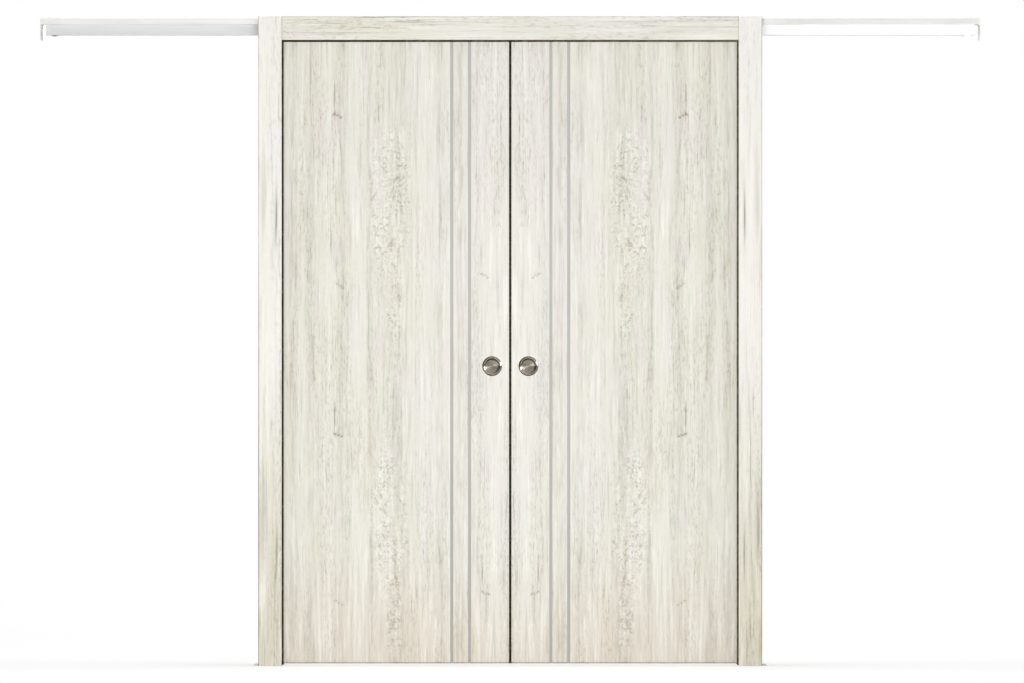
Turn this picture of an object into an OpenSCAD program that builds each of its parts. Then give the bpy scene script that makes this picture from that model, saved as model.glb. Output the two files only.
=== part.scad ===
// Double pocket door: two flush doors hung from a track, in a split frame with flat casings.
// The origin is on the floor, at the middle of the opening and of the wall's thickness.
// X runs along the wall, Y through it, with the photographed face at -Y, and Z up.
// Pieces that come in pairs are drawn on the right or the front, and mirrored.

/* [Doors] */
// Width of each door
door_w = 762; // [610:1:914]
// Height of each door
door_h = 2032; // [1900:1:2440]
// Thickness of each door
door_t = 40; // [40:1:46]
// Thickness of the front and back skins
skin_t = 4; // [3.5:0.5:5]
// Thickness of the bands on the two upright edges
band_t = 1; // [0.5:0.5:1.5]
// Width of the stile that holds the pulls
lead_stile_w = 100; // [95:1:110]
// Width of the stile at the pocket side
rear_stile_w = 60; // [50:1:66]
// Height of the top, middle and bottom rails of the core
core_rail_h = 110; // [80:1:160]
// Joint between pieces that meet end to end or edge to edge
joint_gap = 0.2; // [0.1:0.1:0.3]

/* [Inlaid strips] */
// Width of each metal strip
strip_w = 10; // [6:1:16]
// Thickness of each metal strip
strip_t = 1.6; // [1:0.1:2]
// Depth of the strip's face below the skin's face
strip_recess = 0.4; // [0.2:0.1:0.6]
// Distance from the leading edge to the middle of the nearer strip
near_strip_x = 128; // [105:1:150]
// Distance from the leading edge to the middle of the farther strip
far_strip_x = 186; // [170:1:260]

/* [Fit in the opening] */
// Gap under the doors
floor_gap = 6; // [6:1:12]
// Gap between the closed doors
meeting_gap = 8; // [6:1:12]
// Width of door that stays in the pocket when closed
pocket_hold = 25; // [22:1:50]
// Height of door that stands up behind the head jamb
head_lap = 8; // [6:1:16]
// Gap between a door's face and the split jamb
face_gap = 5; // [5:0.5:8]

/* [Frame] */
// Thickness of the wall that the frame lines
wall_t = 114; // [112:1:150]
// Thickness of the jamb boards
jamb_t = 18; // [15:1:22]
// Width of the casings
casing_w = 76; // [76:1:110]
// Thickness of the casings
casing_t = 12; // [9:1:18]
// Rounding of the casings' front edges
casing_round = 1.5; // [1:0.5:3]
// Rounding of the casings' back edges
casing_arris = 0.5; // [0.5:0.5:1]
// Number of pins in each upright casing
leg_pins = 5; // [3:1:9]
// Number of pins in each head casing
head_pins = 4; // [3:1:8]
// Radius of the casing pins
pin_r = 0.8; // [0.6:0.1:1.2]
// Length of the casing pins
pin_l = 32; // [25:1:36]
// Depth of the pins' heads below the casings' faces
pin_set = 3; // [2:0.5:4]

/* [Header] */
// Width of the header board through the wall
header_w = 89; // [84:1:100]
// Thickness of the header board
header_t = 18; // [15:1:20]
// Length of header past the end of the track
header_spare = 15; // [10:1:30]
// Number of screws down into each half of each head cleat
cleat_screws = 2; // [1:1:4]
// Thickness of the bracket plates
bracket_t = 2; // [1.5:0.5:2]
// Height of the end brackets
bracket_h = 70; // [66:1:90]
// Length of the end brackets along the top of the header
bracket_reach = 50; // [40:1:70]
// Radius of the holes in the end brackets and the floor brackets
fix_hole_r = 2.75; // [2:0.25:3]
// Spacing of the end bracket's holes through the wall
fix_span_y = 64; // [60:1:68]
// Spacing of the end bracket's holes up the wall
fix_span_z = 22; // [18:1:26]
// Distance from the bracket's bottom edge to its lower holes
fix_edge = 12; // [8:1:16]

/* [Seals] */
// Width of seal that shows past the jamb
seal_lip = 5; // [4:0.5:10]
// Width of seal that is stuck to the jamb
seal_seat = 9; // [6:1:14]
// Thickness of the jamb seal
seal_t = 3; // [2:0.5:3.5]
// Width of each seal between the doors
edge_seal_w = 4; // [3:0.5:4.5]
// Distance from a door's skin to the seal in its leading edge
edge_seal_in = 1; // [0.5:0.5:2]
// Depth of the seal's groove in the leading edge
edge_seal_deep = 5; // [3:0.5:8]
// Gap between the two doors' seals when closed
edge_seal_gap = 0.4; // [0.3:0.1:1]

/* [Track] */
// Width of the track
track_w = 42; // [41:1:44]
// Height of the track
track_h = 34; // [32:1:38]
// Thickness of the track's walls and roof
track_wall = 2.5; // [2:0.1:3]
// Thickness of the lips that the wheels roll on
track_lip = 3; // [2.5:0.1:4]
// Width of the slot that the hanger bolts run in
track_slot = 14; // [12:1:15]
// Gap between the top of the doors and the track
track_gap = 10; // [10:1:20]
// Number of screws in each length of track
track_screws = 6; // [3:1:8]
// Distance from the ends of each length of track to its first and last screws
track_screw_in = 60; // [60:1:90]

/* [Trolleys and hangers] */
// Distance from each end of a door to its hanger bolt
hanger_in = 80; // [76:1:90]
// Length of the trolley block
block_l = 62; // [58:1:66]
// Width of the trolley block
block_w = 13; // [12:0.5:13.5]
// Height of the trolley block
block_h = 15; // [14:1:16]
// Distance between the two axles of a trolley
axle_span = 38; // [37:1:40]
// Radius of the axles
axle_r = 2.5; // [2:0.25:3]
// Clearance of the wheels round and along their axles
bore_clear = 0.05; // [0.03:0.01:0.08]
// Radius of the wheels
wheel_r = 10.5; // [10:0.25:11]
// Width of the wheels
wheel_w = 7.5; // [6:0.5:8]
// Width of the wheels' hubs outside the axle
hub_w = 2; // [1.5:0.25:2.5]
// Width of the wheels' treads outside the side recess
tread_w = 2.5; // [2:0.25:3]
// Depth of the recess in each side of a wheel
dish_deep = 0.8; // [0.4:0.1:1.5]
// Gap between the wheels and the surface that they roll on
wheel_gap = 0.2; // [0.1:0.1:0.3]
// Thickness of the heads that keep the wheels on the axles
axle_head_t = 1.3; // [1:0.1:1.4]
// Radius of the hanger bolts
bolt_r = 4; // [3:0.5:4.5]
// Width across the flats of the nuts and bolt heads
nut_af = 13; // [12:0.5:14]
// Height of the nuts and bolt heads
nut_h = 5; // [4:0.5:5.5]
// Length of bolt below the top of the door
bolt_drop = 16; // [12:1:24]
// Length of the plates on top of the doors
plate_l = 90; // [80:1:110]
// Width of the plates on top of the doors
plate_w = 30; // [28:1:32]
// Thickness of the plates on top of the doors
plate_t = 2.5; // [2:0.5:3]
// Radius of the wood screws' shanks
screw_r = 2; // [1.75:0.25:2.25]
// Radius of the wood screws' heads
screw_head_r = 3.8; // [3.5:0.1:4]
// Height of the wood screws' heads
screw_head_h = 2; // [1.5:0.1:2.5]
// Height of the dome on the wood screws' heads
screw_dome_h = 1.2; // [0.6:0.1:1.4]
// Radius of the cross cut in the wood screws' heads
cross_r = 1.9; // [1.5:0.1:2.1]
// Width of the arms of the cross
cross_w = 0.9; // [0.7:0.1:1.2]
// Depth of the cross
cross_deep = 1.2; // [0.8:0.1:1.4]
// Length of the wood screws' shanks
screw_l = 14; // [10:1:14]
// Clearance of a fastener or fitting in its hole
hole_clear = 0.1; // [0.05:0.05:0.2]

/* [Stops] */
// Length of the rubber bumpers
bumper_l = 14; // [10:1:16]
// Radius of the rubber bumpers
bumper_r = 5.5; // [4:0.5:6]
// Length of the steel stops at the ends of the track
end_stop_l = 26; // [24:1:40]
// Height of the steel stops
stop_h = 16; // [14:1:18]
// Clearance of the stops beside the track and ahead of the trolleys
stop_gap = 0.3; // [0.2:0.1:0.5]
// Radius of the bolts that clamp the stops to the track
clamp_r = 2.5; // [2:0.25:3]
// Width of the square plate under each clamped lip
clamp_w = 22; // [18:1:24]
// Thickness of the clamp's plate, and of the head below it
clamp_t = 2; // [1.5:0.5:2.5]
// Length of track past the steel stops
track_spare = 14; // [8:1:30]

/* [Round pulls] */
// Height of the pulls above the floor
pull_z = 972; // [850:1:1100]
// Distance from the leading edge to the middle of the pull
pull_x = 55; // [50:1:60]
// Radius of the pull's rim
pull_r = 32; // [30:0.5:34]
// Radius of the pull's cup at its mouth
cup_r = 23; // [20:0.5:24]
// Depth of the cup below the door's face
cup_deep = 11; // [8:0.5:12]
// Radius of the curve from the cup's wall to its floor
cup_fillet = 3; // [1:0.5:5]
// Thickness of the pull's metal
pull_sheet = 1.4; // [1:0.1:1.6]
// Height of the crown of the rim above the door's face
rim_h = 1.2; // [0.8:0.1:1.4]
// Radius of the edge pull's rim
edge_pull_r = 9; // [8:0.5:9]
// Radius of the edge pull's cup
edge_cup_r = 6; // [5:0.5:6]
// Depth of the edge pull's cup
edge_cup_deep = 12; // [8:0.5:14]
// Radius of the curve from the edge cup's wall to its floor
edge_cup_fillet = 1.5; // [0.5:0.5:3]

/* [Floor guides] */
// Length of the floor bracket along the wall
floor_bracket_l = 92; // [84:1:110]
// Distance from the bracket's pocket end to its screw holes
floor_hole_in = 14; // [10:1:16]
// Spacing of the floor bracket's holes
floor_hole_span = 26; // [20:1:34]
// Thickness of the guide fin
fin_t = 6; // [4:0.5:7]
// Height of the fin inside the door's channel
fin_lap = 12; // [8:1:14]
// Clearance between the fin and the ends of the channel
fin_end = 3; // [2.5:0.5:4]
// Width of the fin's foot through the wall
fin_foot_w = 28; // [26:1:34]
// Thickness of the fin's foot
fin_foot_t = 3; // [2:0.5:3.5]
// Distance from the foot's edge to its screws
foot_screw_in = 4.5; // [3.5:0.5:5]
// Radius of the foot's screws
foot_screw_r = 1.5; // [1:0.25:2]
// Depth and widening of the foot screws' countersunk heads
foot_sink = 1.5; // [1:0.25:1.75]
// Width inside the channel under the door
channel_in = 8.5; // [8:0.5:10]
// Depth inside the channel under the door
channel_deep = 17; // [16:0.5:22]
// Thickness of the channel's walls
channel_t = 1.5; // [1:0.1:2]

/* [Hidden] */
$fn = 48;
cut = 0.5; // how far a cut runs past the face that it goes through
hex = 6; // sides of a nut
block_drop = 1; // how far the middle of a trolley block is below its axles
nut_clear = 1; // space round the nut inside the door

// Places along the wall, for the right half
lead_edge = meeting_gap / 2;
rear_edge = lead_edge + door_w;
open_half = rear_edge - pocket_hold;
travel = open_half - lead_edge;
lead_hanger = lead_edge + hanger_in;
rear_hanger = rear_edge - hanger_in;
centre_stop_half = lead_hanger - block_l / 2 - stop_gap - bumper_l;
end_bumper_x = rear_hanger + travel + block_l / 2 + stop_gap;
end_stop_x = end_bumper_x + bumper_l;
track_end = end_stop_x + end_stop_l + track_spare;
header_half = track_end + header_spare;

// Places through the wall
slot_half = door_t / 2 + face_gap;
wall_half = wall_t / 2;
core_half = door_t / 2 - skin_t;
seal_out = core_half - edge_seal_in;
track_in = track_w / 2 - track_wall;
wheel_y = (track_slot / 2 + track_in) / 2;
cleat_y = (slot_half + header_w / 2) / 2;

// Heights
door_top = floor_gap + door_h;
head_z = door_top - head_lap;
track_z = door_top + track_gap;
roll_z = track_z + track_lip;
axle_z = roll_z + wheel_gap + wheel_r;
block_z = axle_z - block_h / 2 - block_drop;
block_top = block_z + block_h;
roof_z = track_z + track_h - track_wall;
header_z = track_z + track_h;
header_top = header_z + header_t;
casing_top = head_z + casing_w;
bracket_z = header_top + bracket_t - bracket_h;
plate_top = door_top + plate_t;
fin_top = floor_gap + fin_lap;
channel_z = floor_gap + channel_deep;
core_rail_z = [
    floor_gap,
    floor_gap + (door_h - core_rail_h) / 2,
    door_top - core_rail_h
];

// Bores in the door
pull_bore_r = cup_r + pull_sheet + hole_clear;
pull_bore_deep = cup_deep + pull_sheet + hole_clear;
edge_bore_r = edge_cup_r + pull_sheet + hole_clear;
edge_bore_deep = edge_cup_deep + pull_sheet + hole_clear;
nut_r = nut_af / 2 / cos(180 / hex);
bolt_bore_r = nut_r + nut_clear;

// Screws, bolts and pins
track_screw_x = [for (i = [0 : track_screws - 1])
    track_screw_in + i * (track_end - 2 * track_screw_in) / (track_screws - 1)];
bracket_screw_x = header_half - bracket_reach / 2;
bracket_screw_y = header_w / 4;
board_screw_x = [
    for (i = [0.5 : cleat_screws - 0.5]) i * open_half / cleat_screws,
    open_half + jamb_t / 2
];
board_screw_l = header_t + screw_l;
clamp_x = [centre_stop_half / 2, end_stop_x + end_stop_l / 2];
leg_pin_z = [for (i = [0.5 : leg_pins - 0.5]) i * casing_top / leg_pins];
head_pin_x = [for (i = [0.5 : head_pins - 0.5]) (2 * i / head_pins - 1) * open_half];
plate_screw_x = plate_l / 2 - 2 * screw_head_r;
plate_screw_y = plate_w / 2 - 1.5 * screw_head_r;
foot_x = open_half + pocket_hold / 2;
foot_screw_y = fin_foot_w / 2 - foot_screw_in;

wood_colour = "#e4e1d4";
jamb_colour = "#30261a";
core_colour = "#d8c39a";
metal_colour = "#b9bbbd";
nickel_colour = "#a39c8f";
zinc_colour = "#c3c7c9";
seal_colour = "#2b261c";
nylon_colour = "#f2f0ea";

sides = ["right", "left"];
trolleys = ["lead", "rear"];

// General shapes

// A box from its low corner to its high corner
module box(low, high) {
    translate(low) cube(high - low);
}

// The children and their mirror through the wall's middle plane
module front_and_back() {
    children();
    mirror([0, 1, 0]) children();
}

// The children and their mirror across the opening's middle plane
module left_and_right() {
    children();
    mirror([1, 0, 0]) children();
}

module above_and_below() {
    children();
    mirror([0, 0, 1]) children();
}

module on_side(side) {
    mirror([side == "left" ? 1 : 0, 0, 0]) children();
}

module to_back() {
    mirror([0, 1, 0]) children();
}

// A wood screw with its head's underside at the origin and its shank along +Z
module wood_screw(length) {
    dome_r = (screw_head_r ^ 2 + screw_dome_h ^ 2) / 2 / screw_dome_h;
    cylinder(h = length, r = screw_r);
    translate([0, 0, -screw_head_h]) difference() {
        intersection() {
            cylinder(h = screw_head_h, r = screw_head_r);
            translate([0, 0, dome_r]) sphere(r = dome_r);
        }
        cross_recess(cross_r, cross_deep);
    }
}

// The cross in a screw's head, going up from the head's top at Z = 0
module cross_recess(radius, depth) {
    for (turn = [0, 90])
        rotate(turn) box([-radius, -cross_w / 2, -cut], [radius, cross_w / 2, depth]);
}

module screw_hole(depth) {
    translate([0, 0, -cut]) cylinder(h = depth + cut, r = screw_r + hole_clear);
}

// Header, track and stops

module header() {
    color(core_colour) difference() {
        box([-header_half, -header_w / 2, header_z], [header_half, header_w / 2, header_top]);
        left_and_right() {
            track_screw_places() screw_hole(screw_l + track_wall);
            bracket_screw_places() screw_hole(screw_l);
            board_screw_places() screw_hole(board_screw_l);
        }
    }
}

// Screws up through the roof of the track
module track_screw_places() {
    for (x = track_screw_x) translate([x, 0, roof_z]) children();
}

// Screws down through the end bracket
module bracket_screw_places() {
    for (y = [-1, 1])
        translate([bracket_screw_x, y * bracket_screw_y, header_top + bracket_t])
            rotate([180, 0, 0]) children();
}

// Screws down through the header into the cleats and the jambs
module board_screw_places() {
    for (x = board_screw_x, y = [-1, 1])
        translate([x, y * cleat_y, header_top]) rotate([180, 0, 0]) children();
}

// The screws of the frame, and the pins of its casings
module frame_fixings() {
    color(zinc_colour) {
        left_and_right() {
            track_screw_places() wood_screw(screw_l + track_wall);
            bracket_screw_places() wood_screw(screw_l);
            board_screw_places() wood_screw(board_screw_l);
            foot_screw_places() difference() {
                foot_screw(0);
                rotate([180, 0, 0]) cross_recess(foot_screw_r, foot_sink / 2);
            }
        }
        front_and_back() {
            left_and_right() leg_pin_places() casing_pin();
            head_pin_places() casing_pin();
        }
    }
}

// A straight bar of the track's C-shaped cross-section, which is open along the bottom
module track_bar(from_y, to_y, from_z, to_z) {
    box([joint_gap, from_y, from_z], [track_end, to_y, to_z]);
}

// The track's roof, which the screws hold to the header, and the lips that the wheels roll on
module track() {
    color(metal_colour) left_and_right() {
        difference() {
            track_bar(-track_w / 2, track_w / 2, roof_z, header_z);
            track_screw_places() screw_hole(track_wall + cut);
        }
        front_and_back() track_bar(track_slot / 2, track_w / 2, track_z, roll_z);
    }
}

module track_walls() {
    color(metal_colour) left_and_right() front_and_back()
        track_bar(track_in, track_w / 2, roll_z, roof_z);
}

// A steel block that fills the track's channel between two places along it
module stop_block(from_x, to_x) {
    side = track_in - stop_gap;
    box([from_x, -side, roll_z], [to_x, side, roll_z + stop_h]);
}

// A bolt up into the block, with a square plate that grips the lips from below
module clamp_bolt() {
    translate([-clamp_w / 2, -clamp_w / 2, track_z - clamp_t]) cube([clamp_w, clamp_w, clamp_t]);
    translate([0, 0, track_z - 2 * clamp_t]) {
        cylinder(h = clamp_t, r = 2 * clamp_r, $fn = hex);
        cylinder(h = roll_z + stop_h - track_z, r = clamp_r);
    }
}

module track_stops() {
    color(zinc_colour) {
        difference() {
            union() {
                stop_block(-centre_stop_half, centre_stop_half);
                left_and_right() stop_block(end_stop_x, end_stop_x + end_stop_l);
            }
            left_and_right() for (x = clamp_x) translate([x, 0, roll_z - cut])
                cylinder(h = stop_h + 2 * cut, r = clamp_r + hole_clear);
        }
        left_and_right() for (x = clamp_x) translate([x, 0, 0]) clamp_bolt();
    }
}

module stop_bumpers() {
    bumper_z = roll_z + stop_h / 2;
    color(seal_colour) left_and_right() for (x = [centre_stop_half, end_bumper_x])
        translate([x, 0, bumper_z]) rotate([0, 90, 0]) cylinder(h = bumper_l, r = bumper_r);
}

// An angle plate on each end of the header, with four holes to fasten it to the wall's studs
module end_brackets() {
    color(zinc_colour) left_and_right() difference() {
        union() {
            box([header_half, -header_w / 2, bracket_z],
                [header_half + bracket_t, header_w / 2, header_top + bracket_t]);
            box([header_half - bracket_reach, -header_w / 2, header_top],
                [header_half, header_w / 2, header_top + bracket_t]);
        }
        for (y = [-1, 1], z = [0, 1])
            translate([header_half - cut, y * fix_span_y / 2, bracket_z + fix_edge + z * fix_span_z])
                rotate([0, 90, 0]) cylinder(h = bracket_t + 2 * cut, r = fix_hole_r);
        bracket_screw_places() screw_hole(bracket_t + cut);
    }
}

// Casings, jambs and seals

// A board's cross-section, with its back edges eased and its front edges rounded.
// X runs across the board and Y from its back to its front.
module board_outline(width, thick) {
    front = casing_round;
    back = casing_arris;
    translate([0, back]) square([width, thick - back - front]);
    translate([back, 0]) square([width - 2 * back, back]);
    translate([front, thick - front]) square([width - 2 * front, front]);
    for (x = [back, width - back])
        translate([x, back]) circle(r = back);
    for (x = [front, width - front])
        translate([x, thick - front]) circle(r = front);
}

// Pins through the front casings into the edges of the jambs, with their points along +Z
module leg_pin_places() {
    for (z = leg_pin_z)
        translate([open_half + jamb_t / 2, pin_set - wall_half - casing_t, z])
            rotate([-90, 0, 0]) children();
}

module head_pin_places() {
    for (x = head_pin_x)
        translate([x, pin_set - wall_half - casing_t, head_z + jamb_t / 2])
            rotate([-90, 0, 0]) children();
}

module pin_hole() {
    cylinder(h = pin_l, r = pin_r + hole_clear);
}

module casing_pin() {
    cylinder(h = pin_l, r = pin_r);
}

module casing_leg() {
    color(wood_colour) difference() {
        translate([open_half, -wall_half, 0])
            mirror([0, 1, 0]) linear_extrude(casing_top) board_outline(casing_w, casing_t);
        leg_pin_places() pin_hole();
    }
}

module casing_head() {
    color(wood_colour) difference() {
        translate([joint_gap - open_half, -wall_half, head_z])
            rotate([90, 0, 90]) linear_extrude(2 * (open_half - joint_gap))
                rotate(90) board_outline(casing_w, casing_t);
        head_pin_places() pin_hole();
    }
}

module jamb_pair() {
    color(jamb_colour) difference() {
        front_and_back()
            box([open_half, -wall_half, bracket_t], [open_half + jamb_t, -slot_half, header_z]);
        front_and_back() leg_pin_places() pin_hole();
        board_screw_places() screw_hole(board_screw_l);
    }
}

module head_jambs() {
    half = open_half - joint_gap;
    color(jamb_colour) difference() {
        front_and_back()
            box([-half, -wall_half, head_z], [half, -slot_half, head_z + jamb_t]);
        front_and_back() head_pin_places() pin_hole();
    }
}

// Boards that join the head jambs to the header
module head_cleats() {
    half = open_half - joint_gap;
    color(core_colour) difference() {
        front_and_back()
            box([-half, -header_w / 2, head_z + jamb_t], [half, -slot_half, header_z]);
        left_and_right() board_screw_places() screw_hole(board_screw_l);
    }
}

// Dark seals on the jambs' inner faces, each with a lip that shows past the jamb
module jamb_seals() {
    seal_face = seal_t - slot_half;
    lip_x = open_half - seal_lip;
    seal_top = head_z + seal_seat;
    color(seal_colour) front_and_back() {
        left_and_right()
            box([lip_x, -slot_half, bracket_t], [open_half + seal_seat, seal_face, seal_top]);
        box([joint_gap - lip_x, -slot_half, head_z - seal_lip],
            [lip_x - joint_gap, seal_face, seal_top]);
    }
}

// Floor brackets and guides

// A plate under the split jambs' feet that holds them apart and carries the guide
module floor_brackets() {
    hole_x = open_half + floor_bracket_l - floor_hole_in;
    color(zinc_colour) left_and_right() difference() {
        box([open_half, -wall_half, 0], [open_half + floor_bracket_l, wall_half, bracket_t]);
        for (y = [-1, 1])
            translate([hole_x, y * floor_hole_span / 2, -cut])
                cylinder(h = bracket_t + 2 * cut, r = fix_hole_r);
        foot_screw_places() foot_screw(hole_clear);
    }
}

module guide_fins() {
    from_x = open_half + fin_end;
    to_x = rear_edge - fin_end;
    color(nylon_colour) left_and_right() difference() {
        union() {
            box([from_x, -fin_t / 2, bracket_t], [to_x, fin_t / 2, fin_top]);
            box([from_x, -fin_foot_w / 2, bracket_t],
                [to_x, fin_foot_w / 2, bracket_t + fin_foot_t]);
        }
        foot_screw_places() foot_screw(hole_clear);
    }
}

module foot_screw_places() {
    for (y = [-1, 1])
        translate([foot_x, y * foot_screw_y, bracket_t + fin_foot_t]) children();
}

// A countersunk screw down from the foot's top, or its hole when it is widened
module foot_screw(wider) {
    shank_l = fin_foot_t + bracket_t - joint_gap;
    translate([0, 0, -shank_l - wider]) cylinder(h = shank_l + wider, r = foot_screw_r + wider);
    translate([0, 0, -foot_sink])
        cylinder(h = foot_sink, r1 = foot_screw_r + wider, r2 = foot_screw_r + foot_sink + wider);
}

// The right door

// Everything that is cut into the door's core and its edge bands
module door_cuts() {
    front_and_back() {
        translate([lead_edge + pull_x, -door_t / 2, pull_z]) rotate([-90, 0, 0])
            cylinder(h = pull_bore_deep, r = pull_bore_r);
        box([lead_edge - cut, -seal_out, floor_gap - cut],
            [lead_edge + edge_seal_deep, edge_seal_w - seal_out, door_top + cut]);
    }
    translate([lead_edge - cut, 0, pull_z]) rotate([0, 90, 0])
        cylinder(h = edge_bore_deep + cut, r = edge_bore_r);
    for (x = [lead_hanger, rear_hanger]) {
        translate([x, 0, door_top - bolt_drop])
            cylinder(h = bolt_drop + cut, r = bolt_bore_r);
        plate_screw_places(x) screw_hole(screw_l);
    }
    box([lead_edge - cut, -channel_in / 2 - channel_t, floor_gap - cut],
        [rear_edge + cut, channel_in / 2 + channel_t, channel_z + channel_t]);
}

module core_frame() {
    stile_x = lead_edge + lead_stile_w;
    rear_x = rear_edge - rear_stile_w;
    color(core_colour) difference() {
        union() {
            box([lead_edge + band_t, -core_half, floor_gap], [stile_x, core_half, door_top]);
            box([rear_x, -core_half, floor_gap], [rear_edge - band_t, core_half, door_top]);
            for (z = core_rail_z)
                box([stile_x + joint_gap, -core_half, z],
                    [rear_x - joint_gap, core_half, z + core_rail_h]);
        }
        door_cuts();
    }
}

module core_fill() {
    from_x = lead_edge + lead_stile_w + joint_gap;
    to_x = rear_edge - rear_stile_w - joint_gap;
    color(core_colour) for (i = [0, 1])
        box([from_x, -core_half, core_rail_z[i] + core_rail_h + joint_gap],
            [to_x, core_half, core_rail_z[i + 1] - joint_gap]);
}

// The front skin, with a hole for the pull and two grooves for the strips
module skin() {
    color(wood_colour) difference() {
        box([lead_edge + band_t, -door_t / 2, floor_gap], [rear_edge - band_t, -core_half, door_top]);
        translate([lead_edge + pull_x, -door_t / 2 - cut, pull_z]) rotate([-90, 0, 0])
            cylinder(h = skin_t + 2 * cut, r = pull_bore_r);
        strip_places() box([-strip_w / 2, -cut, floor_gap - cut],
            [strip_w / 2, strip_t + strip_recess, door_top + cut]);
    }
}

module strip_places() {
    for (x = [near_strip_x, far_strip_x])
        translate([lead_edge + x, -door_t / 2, 0]) children();
}

module strips() {
    color(metal_colour) front_and_back() strip_places()
        box([-strip_w / 2, strip_recess, floor_gap], [strip_w / 2, strip_t + strip_recess, door_top]);
}

module edge_bands() {
    color(wood_colour) difference() {
        for (x = [lead_edge, rear_edge - band_t])
            box([x, -door_t / 2, floor_gap], [x + band_t, door_t / 2, door_top]);
        door_cuts();
    }
}

// A dished pull round Z, with its crowned rim above Z = 0 and its cup going down from it
module dished_pull(rim_radius, mouth_radius, depth, fillet) {
    color(nickel_colour) rotate_extrude($fn = 96) {
        difference() {
            union() {
                translate([0, -depth - pull_sheet])
                    square([mouth_radius + pull_sheet, depth + pull_sheet]);
                rim_outline(mouth_radius, rim_radius);
            }
            cup_outline(mouth_radius, depth, fillet);
        }
    }
}

// The section of a rim, crowned from the cup's mouth to the rim's outer edge
module rim_outline(inner, outer) {
    half = (outer - inner) / 2;
    crown_r = (half * half + rim_h * rim_h) / (2 * rim_h);
    intersection() {
        translate([inner, 0]) square([2 * half, rim_h]);
        translate([inner + half, rim_h - crown_r]) circle(r = crown_r);
    }
}

// Half of the hollow of a cup, with a curve at its floor
module cup_outline(radius, depth, fillet) {
    difference() {
        translate([0, -depth]) square([radius, depth + rim_h + cut]);
        difference() {
            translate([radius - fillet, -depth]) square(fillet);
            translate([radius - fillet, fillet - depth]) circle(r = fillet);
        }
    }
}

module front_pull() {
    translate([lead_edge + pull_x, -door_t / 2, pull_z]) rotate([90, 0, 0])
        dished_pull(pull_r, cup_r, cup_deep, cup_fillet);
}

module edge_pull() {
    translate([lead_edge, 0, pull_z]) rotate([0, -90, 0])
        dished_pull(edge_pull_r, edge_cup_r, edge_cup_deep, edge_cup_fillet);
}

// Dark strips that close the gap between the two doors
module edge_seals() {
    color(seal_colour) front_and_back()
        box([edge_seal_gap / 2, -seal_out, floor_gap],
            [lead_edge + edge_seal_deep, edge_seal_w - seal_out, door_top]);
}

module bottom_channel() {
    half = channel_in / 2;
    color(metal_colour) difference() {
        box([lead_edge + band_t, -half - channel_t, floor_gap],
            [rear_edge - band_t, half + channel_t, channel_z + channel_t]);
        box([lead_edge - cut, -half, floor_gap - cut], [rear_edge + cut, half, channel_z]);
    }
}

// Hangers and trolleys

// The four screws of the plate at one hanger, pointing down into the door
module plate_screw_places(x) {
    for (dx = [-1, 1], dy = [-1, 1])
        translate([x + dx * plate_screw_x, dy * plate_screw_y, plate_top])
            rotate([180, 0, 0]) children();
}

module hanger_plates() {
    color(zinc_colour) for (x = [lead_hanger, rear_hanger]) difference() {
        box([x - plate_l / 2, -plate_w / 2, door_top], [x + plate_l / 2, plate_w / 2, plate_top]);
        translate([x, 0, door_top - cut]) cylinder(h = plate_t + 2 * cut, r = bolt_r + hole_clear);
        plate_screw_places(x) screw_hole(plate_t + cut);
    }
}

module plate_screws() {
    color(zinc_colour) for (x = [lead_hanger, rear_hanger])
        plate_screw_places(x) wood_screw(screw_l);
}

// A nut or a bolt's head, with its corners rounded off above and below
module hexagon(z) {
    face_r = (nut_af / 2 + nut_r) / 2;
    translate([0, 0, z]) intersection() {
        cylinder(h = nut_h, r = nut_r, $fn = hex);
        translate([0, 0, nut_h / 2]) sphere(r = norm([face_r, nut_h / 2]));
    }
}

// A bolt hangs by its head from each trolley, and two nuts grip the door's plate
module hanger_bolts() {
    bolt_end = door_top - bolt_drop;
    color(zinc_colour) for (x = [lead_hanger, rear_hanger]) translate([x, 0, 0]) {
        translate([0, 0, bolt_end]) cylinder(h = block_top - bolt_end, r = bolt_r);
        hexagon(block_top);
        difference() {
            union() {
                hexagon(plate_top);
                hexagon(door_top - nut_h);
            }
            translate([0, 0, bolt_end]) cylinder(h = block_top - bolt_end, r = bolt_r + hole_clear);
        }
    }
}

// A steel block on two fixed axles, with a collar inside each wheel and a head outside it
module trolley(x) {
    collar_r = axle_r + hub_w - joint_gap;
    wheel_in = wheel_y - wheel_w / 2 - bore_clear;
    wheel_out = wheel_y + wheel_w / 2 + bore_clear;
    color(zinc_colour) translate([x, 0, 0]) {
        difference() {
            box([-block_l / 2, -block_w / 2, block_z], [block_l / 2, block_w / 2, block_top]);
            translate([0, 0, block_z - cut])
                cylinder(h = block_h + 2 * cut, r = bolt_r + hole_clear);
        }
        for (dx = [-1, 1])
            translate([dx * axle_span / 2, 0, axle_z]) rotate([90, 0, 0]) above_and_below() {
                cylinder(h = wheel_out + axle_head_t, r = axle_r);
                translate([0, 0, block_w / 2]) cylinder(h = wheel_in - block_w / 2, r = collar_r);
                translate([0, 0, wheel_out]) cylinder(h = axle_head_t, r = collar_r);
            }
    }
}

// The two wheels that turn on one axle
module wheel_pair(x) {
    bore = axle_r + bore_clear;
    color(nylon_colour) translate([x, 0, axle_z]) rotate([90, 0, 0]) above_and_below()
        translate([0, 0, wheel_y - wheel_w / 2]) rotate_extrude() difference() {
            translate([bore, 0]) square([wheel_r - bore, wheel_w]);
            for (y = [-dish_deep, wheel_w - dish_deep])
                translate([axle_r + hub_w, y])
                    square([wheel_r - tread_w - axle_r - hub_w, 2 * dish_deep]);
        }
}

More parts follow.
